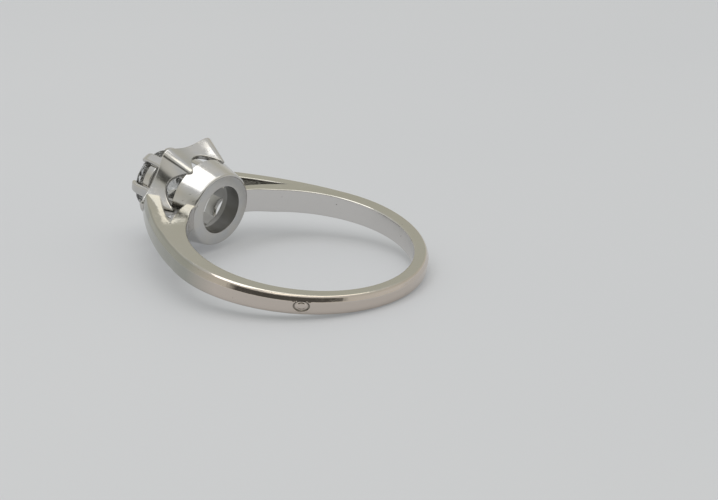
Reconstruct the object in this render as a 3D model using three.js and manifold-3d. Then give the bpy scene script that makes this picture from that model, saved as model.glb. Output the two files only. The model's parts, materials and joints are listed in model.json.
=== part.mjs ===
// Six-claw solitaire ring in white gold, lying on its side. Millimetres, +Z up.
//
// The ring is designed in its own frame: the finger axis is Z through the origin, the head points
// along -X, and the band's two arms lie on -Y (front) and +Y (rear). "Height" is the distance from
// the finger axis along the head, and "azimuth" turns about the head axis, from +Z towards -Y.
// The finished ring is tipped about Y until its head and its back touch the surface together.

import * as THREE from 'three';
import { mergeVertices } from 'three/addons/utils/BufferGeometryUtils.js';
import { ConvexGeometry } from 'three/addons/geometries/ConvexGeometry.js';
import Module from 'manifold-3d';

const wasm = await Module();
wasm.setup();

// ---------------------------------------------------------------- driving dimensions

// Band: it grows thicker and wider from the back of the finger towards the head.
const FINGER_RADIUS = 8.5;
const BACK_THICKNESS = 1.03;
const TOP_THICKNESS = 1.92;
const BACK_WIDTH = 1.44;
const TOP_WIDTH = 1.98;
const OUTER_EDGE_ROUND = 0.3;
const INNER_EDGE_ROUND = 0.1;

// Fork in each shoulder: an inner branch runs to the collar, an outer one to the corolla.
const FORK_ANGLE = 60;
const INNER_BRANCH_THICKNESS = 1.2;
const OUTER_BRANCH_THICKNESS = 1.45;
const OUTER_BRANCH_END_THICKNESS = 1.25;
const OUTER_BRANCH_END_WIDTH = 1.7;
const CROTCH_ANGLE = 42;
const SHOULDER_START_ANGLE = 84;
const SHOULDER_FULLNESS = 0.32;
const SHOULDER_END_SLOPE = 41;
const BRANCH_BURIAL = 0.02;

// Assay mark: a plain oval dimple, without letters, in the outside of the front arm.
const MARK_ANGLE = 134;
const MARK_LENGTH = 1.25;
const MARK_HEIGHT = 0.85;
const MARK_DEPTH = 0.1;

// Stone: a round brilliant. The whole head takes its width from it.
const STONE_RADIUS = 2.42;
const GIRDLE_THICKNESS = 0.12;
const CROWN_HEIGHT = 0.76;
const TABLE_RADIUS = 1.36;
const PAVILION_DEPTH = 2.08;

// Claws: six upright bars that stand on the collar's rim and close over the stone's edge.
const POINTS = 6;
const CLAW_THICKNESS = 0.45;
const CLAW_FOOT_WIDTH = 0.95;
const CLAW_TIP_WIDTH = 0.8;
const CLAW_LENGTH = 4.9;
const CLAW_RISE = 0.85;
const CLAW_REACH = 0.4;
const CLAW_BITE = 0.12;
const CLAW_OUTER_ROUND = 0.16;
const CLAW_INNER_ROUND = 0.05;

// Seat ring: the ring between the claws that the stone's lower cone sits in.
const SEAT_RING_THICKNESS = 0.5;
const SEAT_RING_HEIGHT = 0.7;
const SEAT_RING_DROP = 0.28;

// Collar: the short flared tube at the base of the head, open towards the finger.
const COLLAR_HEIGHT = 2.1;
const COLLAR_RIM_MARGIN = 0.62;
const COLLAR_FLARE = 0.47;
const COLLAR_WALL = 1.0;
const COLLAR_STEP_HEIGHT = 1.35;
const COLLAR_EDGE_ROUND = 0.3;
const COLLAR_RIM_CHAMFER = 0.1;
const FINGER_CLEARANCE = 0.015;

// Corolla: a flared six-pointed skirt of sheet, with hollow panels between ridged points. Its
// ridges' feet hug the collar just under the rim, and its panels end above it, which leaves slits.
const SHEET_THICKNESS = 0.4;
const RIDGE_STANDOFF = 0.13;
const RIDGE_FLARE = 1.22;
const RIDGE_DROP = 0.35;
const TIP_RISE = 2.05;
const PANEL_STANDOFF = 0.08;
const PANEL_FLARE = 0.41;
const SLIT_HEIGHT = 1.02;
const PANEL_TOP_RISE = 2.12;
const PANEL_HOLLOW = 2;

// Clearances: the solder seam between two pieces, and the stone's room in its setting.
const SOLDER_SEAM = 0.03;
const STONE_CLEARANCE = 0.03;

// Mesh steps.
const BAND_STEP = 4.5;
const CORNER_STEPS = 3;
const BRANCH_STEPS = 20;
const CLAW_STEPS = 12;
const ROUND_STEPS = 60;

// ---------------------------------------------------------------- places worked out from them

const DEG = Math.PI / 180;
const Z_AXIS = new THREE.Vector3(0, 0, 1);

// The claws stand on the collar's rim, so they set its radius, and the collar sets the corolla's.
const CLAW_INNER_RADIUS = STONE_RADIUS - CLAW_BITE;
const COLLAR_TOP_RADIUS = CLAW_INNER_RADIUS + CLAW_THICKNESS + COLLAR_RIM_MARGIN;
const COLLAR_RADIUS = COLLAR_TOP_RADIUS - COLLAR_FLARE;
const COLLAR_BORE_RADIUS = COLLAR_RADIUS - COLLAR_WALL;
const RIDGE_FOOT_RADIUS = COLLAR_TOP_RADIUS + RIDGE_STANDOFF;
const RIDGE_FOOT_HEIGHT = COLLAR_HEIGHT - RIDGE_DROP;
const TIP_RADIUS = RIDGE_FOOT_RADIUS + RIDGE_FLARE;
const TIP_HEIGHT = COLLAR_HEIGHT + TIP_RISE;
const PANEL_FOOT_RADIUS = COLLAR_TOP_RADIUS + PANEL_STANDOFF;
const PANEL_FOOT_HEIGHT = COLLAR_HEIGHT + SLIT_HEIGHT;
const PANEL_TOP_RADIUS = PANEL_FOOT_RADIUS + PANEL_FLARE;
const PANEL_TOP_HEIGHT = COLLAR_HEIGHT + PANEL_TOP_RISE;
const GIRDLE_HEIGHT = COLLAR_HEIGHT + CLAW_LENGTH;
const POINT_PITCH = 360 / POINTS;

// The collar's face just clears the finger circle at the edge of its bore.
const HEAD_BASE = Math.sqrt(FINGER_RADIUS ** 2 - COLLAR_BORE_RADIUS ** 2) + FINGER_CLEARANCE;

// The hoop's ends stop inside the collar's wall before they are cut to it.
const HOOP_END_OFFSET = (COLLAR_RADIUS + COLLAR_BORE_RADIUS) / 2;

const mix = (a, b, t) => a + (b - a) * t;
const clamp01 = (t) => Math.min(1, Math.max(0, t));
const smooth = (t) => clamp01(t) ** 2 * (3 - 2 * clamp01(t));

// ---------------------------------------------------------------- frames

/** A direction in the ring's plane, turned by angle degrees from the head towards the front arm. */
function planeDirection(angle) {
  return new THREE.Vector3(-Math.cos(angle * DEG), -Math.sin(angle * DEG), 0);
}

/** A point of the head from its azimuth in degrees, its radius and its height above the collar's face. */
function headPoint(azimuth, radius, height) {
  const sideways = radius * Math.sin(azimuth * DEG);
  return new THREE.Vector3(-(HEAD_BASE + height), -sideways, radius * Math.cos(azimuth * DEG));
}

// ---------------------------------------------------------------- solids

/** Skins a row of closed point rings. An open row gets a cap at each end; a looped row joins up. */
function skin(rings, looped = false) {
  const count = rings[0].length;
  const vertices = rings.flat();
  const triangles = [];
  const spans = looped ? rings.length : rings.length - 1;
  for (let i = 0; i < spans; i += 1) {
    const near = i * count;
    const far = ((i + 1) % rings.length) * count;
    for (let j = 0; j < count; j += 1) {
      const next = (j + 1) % count;
      triangles.push(near + j, near + next, far + next);
      triangles.push(near + j, far + next, far + j);
    }
  }
  if (!looped) {
    for (const [ring, start, turn] of [[rings[0], 0, 1], [rings.at(-1), spans * count, 0]]) {
      const hub = vertices.length;
      vertices.push(ring.reduce((sum, p) => sum.add(p), new THREE.Vector3()).divideScalar(count));
      for (let j = 0; j < count; j += 1) {
        const pair = [start + j, start + (j + 1) % count];
        triangles.push(hub, pair[turn], pair[1 - turn]);
      }
    }
  }
  return solid(vertices.flatMap((p) => [p.x, p.y, p.z]), triangles);
}

/** A manifold solid from flat vertex and triangle lists, turned the right way out. */
function solid(vertices, triangles) {
  const build = (list) => new wasm.Manifold(new wasm.Mesh({
    numProp: 3,
    vertProperties: new Float32Array(vertices),
    triVerts: new Uint32Array(list),
  }));
  const first = build(triangles);
  if (first.volume() > 0) {
    return first;
  }
  const turned = triangles.slice();
  for (let i = 0; i < turned.length; i += 3) {
    [turned[i + 1], turned[i + 2]] = [triangles[i + 2], triangles[i + 1]];
  }
  return build(turned);
}

/** A manifold solid from a closed three.js geometry. */
function fromGeometry(geometry) {
  const bare = geometry.clone();
  bare.deleteAttribute('normal');
  bare.deleteAttribute('uv');
  const merged = mergeVertices(bare, 1e-5);
  return solid([...merged.attributes.position.array], [...merged.index.array]);
}

/** A three.js geometry from a manifold solid. */
function toGeometry(body) {
  const mesh = body.getMesh();
  const geometry = new THREE.BufferGeometry();
  geometry.setAttribute('position', new THREE.BufferAttribute(mesh.vertProperties.slice(), 3));
  geometry.setIndex(new THREE.BufferAttribute(mesh.triVerts.slice(), 1));
  geometry.computeVertexNormals();
  return geometry;
}

/** A body turned about the head axis, from a closed outline of [radius, height] points. */
function turnedAboutHead(outline) {
  const points = [...outline, outline[0]].map(([radius, height]) => new THREE.Vector2(radius, height));
  const geometry = new THREE.LatheGeometry(points, ROUND_STEPS);
  geometry.rotateZ(Math.PI / 2);
  geometry.translate(-HEAD_BASE, 0, 0);
  return fromGeometry(geometry);
}

/** Points of a quarter circle about [x, y], from one angle to another in degrees. */
function corner(x, y, radius, from, to, steps = CORNER_STEPS) {
  return Array.from({ length: steps + 1 }, (_, i) => {
    const angle = mix(from, to, i / steps) * DEG;
    return [x + radius * Math.cos(angle), y + radius * Math.sin(angle)];
  });
}

/** A bar's section: [depth, side] points of a rectangle with its near and far edges rounded. */
function barSection(depth, width, nearRound, farRound) {
  const half = width / 2;
  return [
    ...corner(depth - farRound, half - farRound, farRound, 0, 90),
    ...corner(nearRound, half - nearRound, nearRound, 90, 180),
    ...corner(nearRound, nearRound - half, nearRound, 180, 270),
    ...corner(depth - farRound, farRound - half, farRound, 270, 360),
  ];
}

/** Places a section at a point: depth runs along one direction and side along another. */
function placeSection(section, origin, depthAxis, sideAxis) {
  return section.map(([depth, side]) => origin.clone()
    .addScaledVector(depthAxis, depth)
    .addScaledVector(sideAxis, side));
}

// ---------------------------------------------------------------- band

/** The band's thickness at an angle from the head, before its shoulder forks. */
function bandThickness(angle) {
  return mix(BACK_THICKNESS, TOP_THICKNESS, (1 + Math.cos(angle * DEG)) / 2);
}

function bandWidth(angle) {
  return mix(BACK_WIDTH, TOP_WIDTH, (1 + Math.cos(angle * DEG)) / 2);
}

/** The hoop round the finger. Inside the forks it thins down to the inner branches. */
function makeHoop() {
  const end = Math.asin(HOOP_END_OFFSET / FINGER_RADIUS) / DEG;
  const steps = Math.round((360 - 2 * end) / BAND_STEP);
  const rings = [];
  for (let i = 0; i <= steps; i += 1) {
    const angle = mix(end, 360 - end, i / steps);
    const fromHead = Math.min(angle, 360 - angle);
    const fork = smooth((FORK_ANGLE - fromHead) / (FORK_ANGLE - CROTCH_ANGLE));
    const thickness = mix(bandThickness(fromHead), INNER_BRANCH_THICKNESS, fork);
    const section = barSection(thickness, bandWidth(fromHead), INNER_EDGE_ROUND, OUTER_EDGE_ROUND);
    const out = planeDirection(angle);
    rings.push(placeSection(section, out.clone().multiplyScalar(FINGER_RADIUS), out, Z_AXIS));
  }
  return skin(rings);
}

/** An outer branch: it lifts off the hoop and runs on, nearly straight, to the corolla's side point. */
function makeOuterBranch(side) {
  const startAngle = side * SHOULDER_START_ANGLE;
  const startRadius = FINGER_RADIUS + bandThickness(startAngle) - BRANCH_BURIAL;
  const start = planeDirection(startAngle).multiplyScalar(startRadius);
  const towardsHead = planeDirection(startAngle - side * 90);
  const end = headPoint(side * 90, TIP_RADIUS - SHEET_THICKNESS, TIP_HEIGHT);
  const backwards = planeDirection(side * (180 - SHOULDER_END_SLOPE));
  const reach = start.distanceTo(end) * SHOULDER_FULLNESS;
  const outerEdge = new THREE.CubicBezierCurve3(
    start,
    start.clone().addScaledVector(towardsHead, reach),
    end.clone().addScaledVector(backwards, reach),
    end,
  );
  const rings = [];
  for (let i = 0; i <= BRANCH_STEPS; i += 1) {
    const along = i / BRANCH_STEPS;
    const inward = outerEdge.getTangentAt(along).cross(Z_AXIS).multiplyScalar(side);
    const thickness = mix(OUTER_BRANCH_THICKNESS, OUTER_BRANCH_END_THICKNESS, along);
    const width = mix(bandWidth(startAngle) - 2 * BRANCH_BURIAL, OUTER_BRANCH_END_WIDTH, along);
    const section = barSection(thickness, width, OUTER_EDGE_ROUND, INNER_EDGE_ROUND);
    rings.push(placeSection(section, outerEdge.getPointAt(along), inward, Z_AXIS));
  }
  return skin(rings);
}

/** The oval dimple's cutter: a flat ellipsoid whose middle lies on the band's outer face. */
function makeMarkCutter() {
  const cutter = new THREE.SphereGeometry(1, 24, 12);
  cutter.scale(MARK_DEPTH, MARK_LENGTH / 2, MARK_HEIGHT / 2);
  cutter.translate(FINGER_RADIUS + bandThickness(MARK_ANGLE), 0, 0);
  cutter.rotateZ((MARK_ANGLE - 180) * DEG);
  return fromGeometry(cutter);
}

/** Everything inside the head's outer surface, which the band's branches are cut to fit. */
function makeHeadEnvelope() {
  const underRidges = RIDGE_FOOT_HEIGHT - SOLDER_SEAM;
  const coneHeight = COLLAR_HEIGHT - COLLAR_RIM_CHAMFER - COLLAR_EDGE_ROUND;
  const coneShare = (underRidges - COLLAR_EDGE_ROUND) / coneHeight;
  const levels = [
    () => [COLLAR_RADIUS, -HEAD_BASE / 4],
    () => [COLLAR_RADIUS, COLLAR_EDGE_ROUND],
    () => [mix(COLLAR_RADIUS, COLLAR_TOP_RADIUS, coneShare), underRidges],
    (azimuth) => skirt(azimuth).foot,
    (azimuth) => skirt(azimuth).top,
    (azimuth) => [skirt(azimuth).top[0], TIP_HEIGHT + SHEET_THICKNESS],
  ];
  return skin(levels.map((level) => azimuths().map((azimuth) => {
    const [radius, height] = level(azimuth);
    return headPoint(azimuth, radius + SOLDER_SEAM, height);
  })));
}

function makeShank() {
  return makeHoop()
    .add(makeOuterBranch(1))
    .add(makeOuterBranch(-1))
    .subtract(makeHeadEnvelope())
    .subtract(makeMarkCutter());
}

// ---------------------------------------------------------------- head

/** The collar's outline from its finger-side edge round to its rim, grown outwards by a clearance. */
function collarOuterOutline(grow) {
  const round = COLLAR_EDGE_ROUND;
  const chamfer = COLLAR_RIM_CHAMFER;
  return [
    ...corner(COLLAR_RADIUS - round, round, round + grow, -90, 0),
    [COLLAR_TOP_RADIUS + grow, COLLAR_HEIGHT - chamfer + grow],
    [COLLAR_TOP_RADIUS - chamfer + grow, COLLAR_HEIGHT + grow],
  ];
}

function makeCollar() {
  return turnedAboutHead([
    [COLLAR_BORE_RADIUS, 0],
    ...collarOuterOutline(0),
    [CLAW_INNER_RADIUS, COLLAR_HEIGHT],
    [CLAW_INNER_RADIUS, COLLAR_STEP_HEIGHT],
    [COLLAR_BORE_RADIUS, COLLAR_STEP_HEIGHT],
  ]);
}

/** The collar without its bore, grown by the solder seam: the room that the corolla leaves for it. */
function makeCollarRoom() {
  return turnedAboutHead([
    [COLLAR_BORE_RADIUS, -SOLDER_SEAM],
    ...collarOuterOutline(SOLDER_SEAM),
    [COLLAR_BORE_RADIUS, COLLAR_HEIGHT + SOLDER_SEAM],
  ]);
}

/** Azimuths round the head, stepped so that every ridge falls on one. */
function azimuths() {
  const perPoint = ROUND_STEPS / POINTS;
  return Array.from({ length: ROUND_STEPS }, (_, i) => (i * POINT_PITCH) / perPoint);
}

/** The corolla's outer surface at an azimuth: its foot and its top as [radius, height]. */
function skirt(azimuth) {
  const half = POINT_PITCH / 2;
  const fromMiddle = Math.abs((((azimuth % POINT_PITCH) + POINT_PITCH + half) % POINT_PITCH) - half) / half;
  const hollow = fromMiddle ** PANEL_HOLLOW;
  const foot = [
    mix(PANEL_FOOT_RADIUS, RIDGE_FOOT_RADIUS, hollow),
    mix(PANEL_FOOT_HEIGHT, RIDGE_FOOT_HEIGHT, hollow),
  ];
  const top = [
    mix(PANEL_TOP_RADIUS, TIP_RADIUS, hollow),
    mix(PANEL_TOP_HEIGHT, TIP_HEIGHT, hollow),
  ];
  return { foot, top };
}

function makeCorolla() {
  const rings = azimuths().map((azimuth) => {
    const { foot, top } = skirt(azimuth);
    const lean = new THREE.Vector2(top[0] - foot[0], top[1] - foot[1]).setLength(SHEET_THICKNESS);
    return [
      foot,
      top,
      [top[0] - lean.y, top[1] + lean.x],
      [foot[0] - lean.y, foot[1] + lean.x],
    ].map(([radius, height]) => headPoint(azimuth, radius, height));
  });
  return skin(rings, true).subtract(makeCollarRoom());
}

/** A round brilliant as the hull of its facet corners. Growing it gives the room it needs. */
function makeStone(grow = 0) {
  const ring = (count, radius, height, turn) => Array.from({ length: count }, (_, i) => (
    headPoint((360 * (i + turn)) / count, radius, height)));
  const girdleTop = GIRDLE_HEIGHT + GIRDLE_THICKNESS / 2 + grow;
  const girdleBottom = GIRDLE_HEIGHT - GIRDLE_THICKNESS / 2 - grow;
  const corners = [
    ...ring(8, TABLE_RADIUS + grow, girdleTop + CROWN_HEIGHT, 0),
    ...ring(8, mix(TABLE_RADIUS, STONE_RADIUS, 0.5) + grow, girdleTop + CROWN_HEIGHT * 0.6, 0.5),
    ...ring(32, STONE_RADIUS + grow, girdleTop, 0),
    ...ring(32, STONE_RADIUS + grow, girdleBottom, 0),
    ...ring(8, STONE_RADIUS * 0.22 + grow, girdleBottom - PAVILION_DEPTH * 0.8, 0.5),
    headPoint(0, 0, girdleBottom - PAVILION_DEPTH),
  ];
  return fromGeometry(new ConvexGeometry(corners));
}

/** The ring inside the claws that carries the stone's lower cone. */
function makeSeatRing() {
  const outer = CLAW_INNER_RADIUS - SOLDER_SEAM;
  const bore = outer - SEAT_RING_THICKNESS;
  const coneTop = GIRDLE_HEIGHT - GIRDLE_THICKNESS / 2;
  const top = coneTop - PAVILION_DEPTH * (1 - outer / STONE_RADIUS) - SEAT_RING_DROP;
  const ring = turnedAboutHead([
    [bore, top - SEAT_RING_HEIGHT],
    [outer, top - SEAT_RING_HEIGHT],
    [outer, top],
    [bore, top],
  ]);
  return ring.subtract(makeStone(STONE_CLEARANCE));
}

/** One claw, upright on the collar's rim, bent in over the stone and notched round its girdle. */
function makeClaw(azimuth) {
  const foot = COLLAR_HEIGHT + SOLDER_SEAM;
  const bend = GIRDLE_HEIGHT - CLAW_BITE;
  const path = new THREE.CatmullRomCurve3([
    new THREE.Vector3(CLAW_INNER_RADIUS, foot, 0),
    new THREE.Vector3(CLAW_INNER_RADIUS, mix(foot, bend, 0.5), 0),
    new THREE.Vector3(CLAW_INNER_RADIUS, bend, 0),
    new THREE.Vector3(CLAW_INNER_RADIUS - CLAW_REACH, GIRDLE_HEIGHT + CLAW_RISE - CLAW_THICKNESS, 0),
  ]);
  const centre = headPoint(0, 0, 0);
  const outward = headPoint(azimuth, 1, 0).sub(centre);
  const upward = headPoint(0, 0, 1).sub(centre);
  const sideways = upward.clone().cross(outward);
  const rings = [];
  for (let i = 0; i <= CLAW_STEPS; i += 1) {
    const along = i / CLAW_STEPS;
    const place = path.getPointAt(along);
    const heading = path.getTangentAt(along);
    const depthAxis = outward.clone().multiplyScalar(heading.y).addScaledVector(upward, -heading.x);
    const width = mix(CLAW_FOOT_WIDTH, CLAW_TIP_WIDTH, along);
    const section = barSection(CLAW_THICKNESS, width, CLAW_INNER_ROUND, CLAW_OUTER_ROUND);
    rings.push(placeSection(section, headPoint(azimuth, place.x, place.y), depthAxis, sideways));
  }
  return skin(rings).subtract(makeStone(STONE_CLEARANCE));
}

// ---------------------------------------------------------------- assembly

const whiteGoldBand = new THREE.MeshStandardMaterial({ color: 0xb4ad9a, roughness: 0.28, metalness: 1 });
const whiteGoldHead = new THREE.MeshStandardMaterial({ color: 0xb9b9b4, roughness: 0.24, metalness: 1 });
const colourlessStone = new THREE.MeshStandardMaterial({ color: 0xf2f5f7, roughness: 0.03, metalness: 0 });

function addPiece(group, name, body, material) {
  const mesh = new THREE.Mesh(toGeometry(body), material);
  mesh.name = name;
  group.add(mesh);
}

/** The angle that brings the head's and the back's lowest points to the same level. */
function restTilt(group) {
  const points = group.children.flatMap((mesh) => {
    const place = mesh.geometry.attributes.position;
    return Array.from({ length: place.count }, (_, i) => [place.getX(i), place.getZ(i)]);
  });
  const lowest = (list, tilt) => Math.min(...list.map(([x, z]) => z * Math.cos(tilt) - x * Math.sin(tilt)));
  const head = points.filter(([x]) => x < 0);
  const back = points.filter(([x]) => x >= 0);
  let low = 0;
  let high = Math.PI / 4;
  for (let i = 0; i < 30; i += 1) {
    const tilt = (low + high) / 2;
    if (lowest(head, tilt) < lowest(back, tilt)) {
      low = tilt;
    } else {
      high = tilt;
    }
  }
  return low;
}

const ring = new THREE.Group();
addPiece(ring, 'shank', makeShank(), whiteGoldBand);
addPiece(ring, 'collar', makeCollar(), whiteGoldHead);
addPiece(ring, 'corolla', makeCorolla(), whiteGoldHead);
addPiece(ring, 'seat_ring', makeSeatRing(), whiteGoldHead);
for (let i = 0; i < POINTS; i += 1) {
  addPiece(ring, `claw_${i + 1}`, makeClaw((i + 0.5) * POINT_PITCH), whiteGoldHead);
}
addPiece(ring, 'stone', makeStone(), colourlessStone);
ring.rotation.y = restTilt(ring);

// The origin is under the middle of the ring, on the surface that it lies on.
const part = new THREE.Group();
part.add(ring);
const box = new THREE.Box3().setFromObject(part, true);
const middle = box.getCenter(new THREE.Vector3());
ring.position.set(-middle.x, -middle.y, -box.min.z);

export default part;
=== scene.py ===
"""Looks of a white-gold solitaire ring that lies on its side. Metres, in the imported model's frame.

The ring's own frame: the finger axis is its Z, the head points along its -X, the front arm lies on
its -Y and the rear arm on its +Y. Heights and azimuths of the head are taken along and about -X.
"""

import json
import math

import bmesh
import bpy
from mathutils import Euler, Matrix, Vector


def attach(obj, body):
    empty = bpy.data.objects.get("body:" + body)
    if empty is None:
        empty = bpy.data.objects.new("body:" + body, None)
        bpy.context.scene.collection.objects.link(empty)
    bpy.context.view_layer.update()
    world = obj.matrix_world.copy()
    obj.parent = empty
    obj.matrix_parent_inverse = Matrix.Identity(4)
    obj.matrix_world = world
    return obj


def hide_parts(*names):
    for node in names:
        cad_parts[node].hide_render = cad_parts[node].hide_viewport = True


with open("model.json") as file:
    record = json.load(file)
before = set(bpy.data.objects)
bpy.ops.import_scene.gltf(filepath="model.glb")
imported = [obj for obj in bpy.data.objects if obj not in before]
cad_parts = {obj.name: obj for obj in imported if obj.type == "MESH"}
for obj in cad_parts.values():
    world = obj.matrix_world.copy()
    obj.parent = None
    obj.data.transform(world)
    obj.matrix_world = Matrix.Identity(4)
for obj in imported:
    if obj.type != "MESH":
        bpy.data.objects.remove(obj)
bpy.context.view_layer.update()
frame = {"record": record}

MM = 0.001
DEG = math.pi / 180
TAU = 2 * math.pi

# ---------------------------------------------------------------- sizes, in millimetres

FINGER_RADIUS = 8.5
BACK_THICKNESS, TOP_THICKNESS = 1.03, 1.92
BACK_WIDTH, TOP_WIDTH = 1.44, 1.98
OUTER_ROUND, INNER_ROUND = 0.15, 0.1
FORK_ANGLE, CROTCH_ANGLE = 60, 42
INNER_BRANCH_THICKNESS = 1.2
OUTER_BRANCH_THICKNESS, OUTER_BRANCH_END_THICKNESS = 1.45, 1.25
SHOULDER_START_ANGLE = 84
SHOULDER_FULLNESS = 0.32
SHOULDER_END_SLOPE = 41

# The oval mark, which moves only points within MARK_REACH of the surface. Its steep rim, the low dome
# inside it and the lip round it are in shares of the oval.
MARK_ANGLE = 134
MARK_LENGTH, MARK_HEIGHT, MARK_DEPTH = 1.25, 0.85, 0.08
MARK_REACH = 0.02
MARK_RIM_WIDTH = 0.2
MARK_DOME_RISE, MARK_DOME_EDGE, MARK_DOME_WIDTH = 0.8, 0.68, 0.3
MARK_LIP_RISE, MARK_LIP_MIDDLE, MARK_LIP_WIDTH = 0.25, 1.12, 0.1

STONE_RADIUS = 2.42
GIRDLE_THICKNESS = 0.12
CROWN_HEIGHT = 0.76
TABLE_RADIUS, STAR_RADIUS = 1.36, 1.84
PAVILION_DEPTH = 2.08
LOWER_FACET_REACH = 0.23

POINTS = 6
CLAW_THICKNESS = 0.45
CLAW_FOOT_WIDTH, CLAW_TIP_WIDTH = 0.95, 0.8
CLAW_LENGTH, CLAW_BITE, CLAW_FOOT_SINK = 4.9, 0.12, 0.04
CLAW_BEND_DROP, CLAW_BEND_RADIUS, CLAW_BEND_TURN = 0.35, 0.95, 62
CLAW_TIP_START, CLAW_TIP_SHARE, CLAW_TIP_FLATNESS = 0.93, 0.07, 0.75
CLAW_OUTER_ROUNDNESS, CLAW_INNER_ROUNDNESS = 0.82, 0.25
CLAW_NOTCH_DROP, CLAW_NOTCH_CLEARANCE = 0.3, 0.012

SEAT_RING_THICKNESS, SEAT_RING_HEIGHT, SEAT_RING_DROP = 0.5, 0.7, 0.4
SEAT_RING_CLEARANCE, SEAT_RING_SLOPE = 0.03, 0.12

COLLAR_TOP_RADIUS, COLLAR_RADIUS, COLLAR_BORE_RADIUS = 3.37, 2.9, 1.9
COLLAR_UPPER_BORE_RADIUS = STONE_RADIUS - CLAW_BITE
COLLAR_HEIGHT, COLLAR_STEP_HEIGHT = 2.1, 1.35
COLLAR_FACE_FILLET, COLLAR_BORE_FILLET, COLLAR_RIM_FILLET = 0.22, 0.06, 0.07
COLLAR_INSIDE_FILLET, COLLAR_STEP_FILLET = 0.1, 0.08
FINGER_CLEARANCE = 0.015

SHEET_THICKNESS = 0.4
RIDGE_FOOT_RADIUS, RIDGE_FOOT_HEIGHT = 3.5, 1.75
TIP_RADIUS, TIP_HEIGHT = 4.72, 4.15
PANEL_FOOT_RADIUS, PANEL_FOOT_HEIGHT = 3.45, 3.12
PANEL_TOP_RADIUS, PANEL_TOP_HEIGHT = 3.86, 4.22
RIDGE_SOFTNESS = 0.2
COROLLA_TRIM = 0.984
COROLLA_FOOT_FILLET, COROLLA_TOP_FILLET = 0.09, 0.11

GIRDLE_HEIGHT = COLLAR_HEIGHT + CLAW_LENGTH
HEAD_BASE = math.sqrt(FINGER_RADIUS ** 2 - COLLAR_BORE_RADIUS ** 2) + FINGER_CLEARANCE
PITCH = 360 / POINTS

# ---------------------------------------------------------------- the ring's own frame

opening = next(m for m in frame["record"]["mounts"] if m["name"] == "finger_opening")
finger_axis = Vector(opening["axis"]).normalized()
tilt = math.atan2(finger_axis.x, finger_axis.z)
RING = Matrix.Translation(opening["pos_m"]) @ Matrix.Rotation(tilt, 4, "Y") @ Matrix.Scale(MM, 4)


def mix(a, b, t):
    return a + (b - a) * t


def smooth(t):
    t = min(1, max(0, t))
    return t * t * (3 - 2 * t)


def plane_direction(angle):
    """A direction in the ring's plane, turned by angle degrees from the head to the front arm."""
    return Vector((-math.cos(angle * DEG), -math.sin(angle * DEG), 0))


def head_point(azimuth, radius, height):
    """A point of the head. Azimuth turns from the ring's +Z to its front arm, in degrees."""
    return Vector((
        -(HEAD_BASE + height),
        -radius * math.sin(azimuth * DEG),
        radius * math.cos(azimuth * DEG),
    ))


def head_coordinates(point):
    """A ring-frame point as (azimuth, radius, height) of the head."""
    azimuth = math.atan2(-point.y, point.z) / DEG
    return azimuth, math.hypot(point.y, point.z), -point.x - HEAD_BASE


# ---------------------------------------------------------------- mesh helpers

def make_piece(name, vertices, faces, material, slot, replaced, crease=None):
    """A piece from ring-frame vertices in millimetres. It stands for a CAD node and rides on the root.

    Edges sharper than crease degrees stay sharp. A crease of 0 keeps every face flat.
    """
    mesh = bpy.data.meshes.new(name)
    mesh.from_pydata([RING @ v for v in vertices], [], faces)
    builder = bmesh.new()
    builder.from_mesh(mesh)
    bmesh.ops.remove_doubles(builder, verts=builder.verts, dist=1e-9)
    bmesh.ops.recalc_face_normals(builder, faces=builder.faces)
    builder.to_mesh(mesh)
    builder.free()
    mesh.polygons.foreach_set("use_smooth", [crease != 0] * len(mesh.polygons))
    if crease:
        mesh.set_sharp_from_angle(angle=crease * DEG)
    piece = bpy.data.objects.new(name, mesh)
    bpy.context.collection.objects.link(piece)
    mesh.materials.append(material)
    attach(piece, "root")
    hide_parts(replaced)


def grid_faces(rows, count, first=0, looped=False):
    """Quads between rows of closed rings that have count points each."""
    faces = []
    for i in range(rows if looped else rows - 1):
        near = first + i * count
        far = first + ((i + 1) % rows) * count
        for j in range(count):
            k = (j + 1) % count
            faces.append((near + j, near + k, far + k, far + j))
    return faces


def arc(x, y, radius, start, end, steps):
    """Points of a circular arc about (x, y), between two angles in degrees."""
    turns = [mix(start, end, i / steps) * DEG for i in range(steps + 1)]
    return [(x + radius * math.cos(t), y + radius * math.sin(t)) for t in turns]


# ---------------------------------------------------------------- band

# The worn slope along the upper outer edge: where it starts and is full, in shares of the half width.
RUBBED_START, RUBBED_FULL, RUBBED_SLOPE = 0.34, 0.46, 0.47
UNDERSIDE_CROWN, UNDERSIDE_POWER = 0.2, 5

# The inner branch's finger side is filed back towards the collar, between these two angles.
FILED_ANGLE, FILED_FULL_ANGLE, FILED_DEPTH = 36, 19, 0.34

# The slot's edges are fully rounded SLOT_ROUND_RUN degrees past the crotch. BURIAL is how far the
# branches run into the head.
SLOT_ROUND_RUN, SLOT_ROUND_SHARE = 9, 0.98
SLOT_INNER_ROUND = OUTER_ROUND * 0.7
BURIAL = 0.12

# Steps of the band's mesh, and the limits within which its crotch and its branches' ends are sought.
SECTION_STEPS, FLANK_STEPS, OUTSIDE_STEPS, INSIDE_STEPS, WALL_STEPS = 7, 6, 28, 12, 10
HOOP_STEP, MARK_STEP, MARK_SPAN = 1.1, 0.2, 4.5
BRANCH_STEPS = 56
CURVE_STEPS, CURVE_OVERRUN = 320, 80
LOWEST_CROTCH, LOWEST_BRANCH_END = 20, 12.0
CROTCH_HALVINGS, BRANCH_HALVINGS = 40, 24
BAND_CREASE = 40


def band_thickness(angle):
    return mix(BACK_THICKNESS, TOP_THICKNESS, (1 + math.cos(angle * DEG)) / 2)


def band_half_width(angle):
    return mix(BACK_WIDTH, TOP_WIDTH, (1 + math.cos(angle * DEG)) / 2) / 2


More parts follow.
